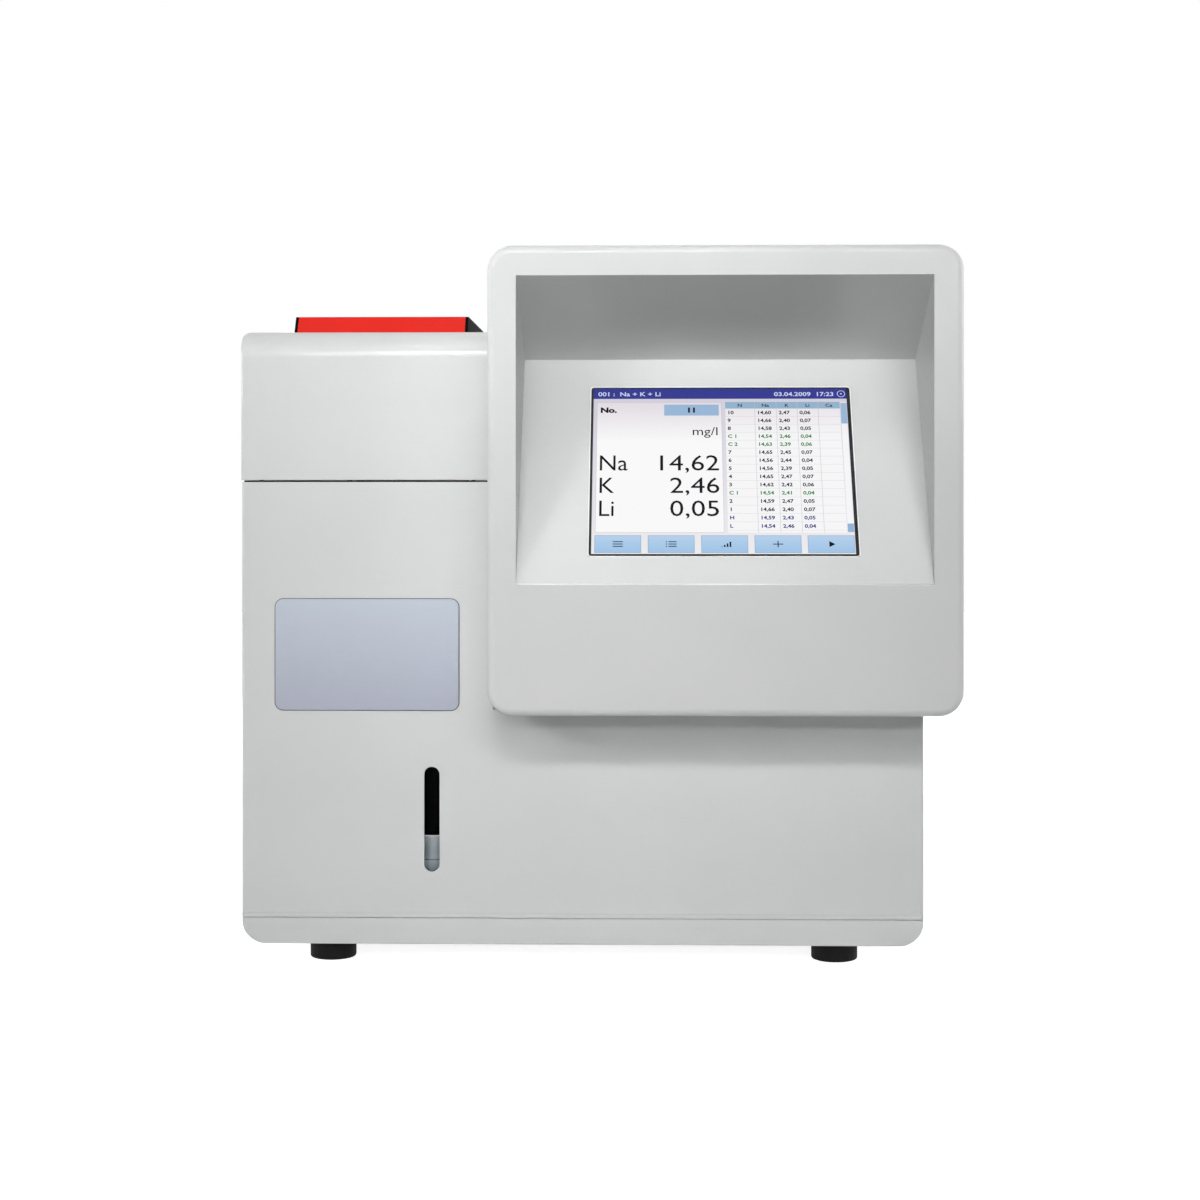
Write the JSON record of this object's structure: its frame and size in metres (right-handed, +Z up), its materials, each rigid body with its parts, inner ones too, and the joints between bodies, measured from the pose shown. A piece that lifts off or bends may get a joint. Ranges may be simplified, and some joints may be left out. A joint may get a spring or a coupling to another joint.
{
  "type": "flame photometer",
  "caption": "Bench flame photometer with a raised display head, a touch screen in a deep sloping recess, a lifting flame cover with a red chimney, and a sight slot.",
  "frame": {"origin": "on the bench, under the middle of the whole instrument's box", "axes": "+X to the viewer's right, +Y from the front to the rear, +Z up"},
  "size_m": [0.435, 0.382, 0.4363],
  "materials": {
    "shell": "satin, finely textured",
    "panel_metal": "satin",
    "foot_rubber": "matt",
    "bright_steel": "satin",
    "plate_metal": "fine satin",
    "clear_window": "clear",
    "glassware": "clear",
    "black_plastic": "fine texture",
    "stainless": "brushed",
    "white_plastic": "smooth",
    "brass": "turned",
    "ceramic": "unglazed ceramic",
    "black_metal": "matt",
    "filter_glass": "coloured",
    "board": "solder mask",
    "tube_red": "flexible",
    "tube_blue": "flexible",
    "tube_clear": "translucent",
    "rocker_plastic": "gloss",
    "supply_metal": "satin",
    "screen_glass": "lit display",
    "chimney_red": "satin",
    "chimney_black": "matt"
  },
  "bodies": {
    "housing": {"base_tray": "shell", "main_housing": "shell", "deck_rails": "panel_metal", "head_bezel": "shell", "head_shell": "shell", "rear_panel": "panel_metal", "foot_front_left": "foot_rubber", "foot_front_right": "foot_rubber", "foot_rear_left": "foot_rubber", "foot_rear_right": "foot_rubber", "foot_screws": "bright_steel", "panel_screws": "bright_steel", "name_plate": "plate_metal", "sight_window": "clear_window", "siphon_vessel": "glassware", "siphon_bracket": "black_plastic", "bulkhead": "panel_metal", "flame_deck": "stainless", "cover_bumpers": "foot_rubber", "mixing_chamber": "white_plastic", "nebuliser": "stainless", "sample_port": "black_plastic", "burner_stem": "stainless", "burner_head": "brass", "flame_tube_seat": "stainless", "flame_tube": "glassware", "igniter": "ceramic", "optics_block": "black_metal", "lens_barrels": "black_metal", "optical_filters": "filter_glass", "detector_board": "board", "gas_inlet": "brass", "air_inlet": "stainless", "drain_outlet": "black_plastic", "gas_valve": "brass", "gas_tube": "tube_red", "air_tube": "tube_blue", "drain_tubes": "tube_clear", "power_inlet": "black_plastic", "power_supply": "supply_metal", "main_board": "board", "data_sockets": "bright_steel", "fan_frame": "black_plastic", "fan_guard": "bright_steel", "head_seat": "foot_rubber", "head_screws": "bright_steel", "display_surround": "black_plastic", "touch_glass": "screen_glass", "display_module": "supply_metal", "display_bracket": "panel_metal", "controller_board": "board", "hinge_base_leaves": "stainless", "hinge_pins": "stainless"},
    "cover": {"cover_shell": "shell", "heat_shield": "stainless", "chimney_hood": "chimney_red", "chimney_cheeks": "chimney_black", "hinge_cover_leaves": "stainless"},
    "rocker": {"power_rocker": "rocker_plastic"},
    "fuse_tray": {"fuse_drawer": "black_plastic"},
    "fan": {"fan_rotor": "black_plastic"}
  },
  "joints": [
    {"name": "cover_hinge", "type": "hinge", "parent": "housing", "child": "cover", "pos_m": [-0.13965, 0.1725, 0.2986], "axis": [-1, 0, 0], "range_deg": [0, 80]},
    {"name": "rocker_swing", "type": "hinge", "parent": "housing", "child": "rocker", "pos_m": [0.16155, 0.166, 0.1023], "axis": [-1, 0, 0], "range_deg": [0, 16]},
    {"name": "fuse_slide", "type": "slide", "parent": "housing", "child": "fuse_tray", "axis": [0, 1, 0], "range_m": [0, 0.018]},
    {"name": "fan_spin", "type": "hinge", "parent": "housing", "child": "fan", "pos_m": [0.07955, 0.155, 0.0985], "axis": [0, 1, 0], "continuous": true}
  ]
}
